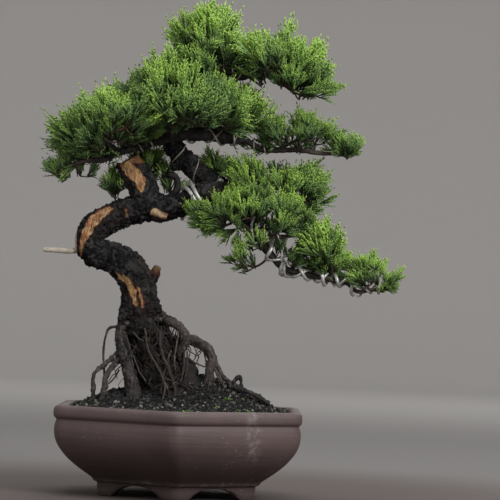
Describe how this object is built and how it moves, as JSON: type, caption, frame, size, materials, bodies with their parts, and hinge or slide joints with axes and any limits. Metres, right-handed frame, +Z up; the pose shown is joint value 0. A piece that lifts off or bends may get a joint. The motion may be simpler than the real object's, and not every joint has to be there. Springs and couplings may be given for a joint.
{
  "type": "bonsai tree in a pot",
  "caption": "Bonsai conifer with a twisted dark trunk, exposed roots, wired branches and cushions of scale foliage, growing in a footed hexagonal unglazed clay pot.",
  "frame": {"origin": "middle of the bounding box's footprint, on the surface that the pot's feet stand on", "axes": "+Z up; -Y towards the viewer of the tree's front, where one corner of the pot points; +X to the right, where the low branch reaches"},
  "size_m": [0.3638, 0.2774, 0.4926],
  "materials": {
    "clay": "matte",
    "screen": "matte",
    "soil": "matte",
    "bark": "matte",
    "root": "matte",
    "twig": "matte",
    "wire": "satin",
    "foliage": "matte",
    "foliage_tips": "matte"
  },
  "bodies": {
    "root": {"pot": "clay", "drain_screen_left": "screen", "drain_screen_right": "screen", "soil": "soil", "trunk": "bark", "root_front_left": "root", "root_back_left": "root", "root_back_right": "root", "root_upper_arch": "root", "root_right_arch": "root", "root_right_low": "root", "root_left_wisp": "root", "root_left_outer": "root", "root_left_inner": "root", "root_tangle": "root", "branch_left": "twig", "branch_right": "twig", "branch_right_upper": "twig", "branch_front": "twig", "branch_back": "twig", "leader": "twig", "branch_cascade": "twig", "branch_cascade_front": "twig", "branch_low_back": "twig", "branch_elbow": "twig", "wire_elbow": "wire", "wire_upper_limb": "wire", "wire_left": "wire", "wire_right": "wire", "wire_right_end": "wire", "wire_leader": "wire", "wire_cascade": "wire", "wire_cascade_end": "wire", "wire_cascade_front": "wire", "pad_apex": "foliage", "pad_main": "foliage", "pad_left": "foliage", "pad_left_tip": "foliage", "pad_right": "foliage", "pad_low_upper": "foliage", "pad_low_front": "foliage", "pad_low_under": "foliage", "tuft_back_left": "foliage", "tuft_back_right": "foliage", "tuft_stub": "foliage", "pad_top_right": "foliage_tips", "pad_right_tip": "foliage_tips", "pad_cascade": "foliage_tips", "pad_cascade_tip": "foliage_tips"}
  },
  "joints": []
}
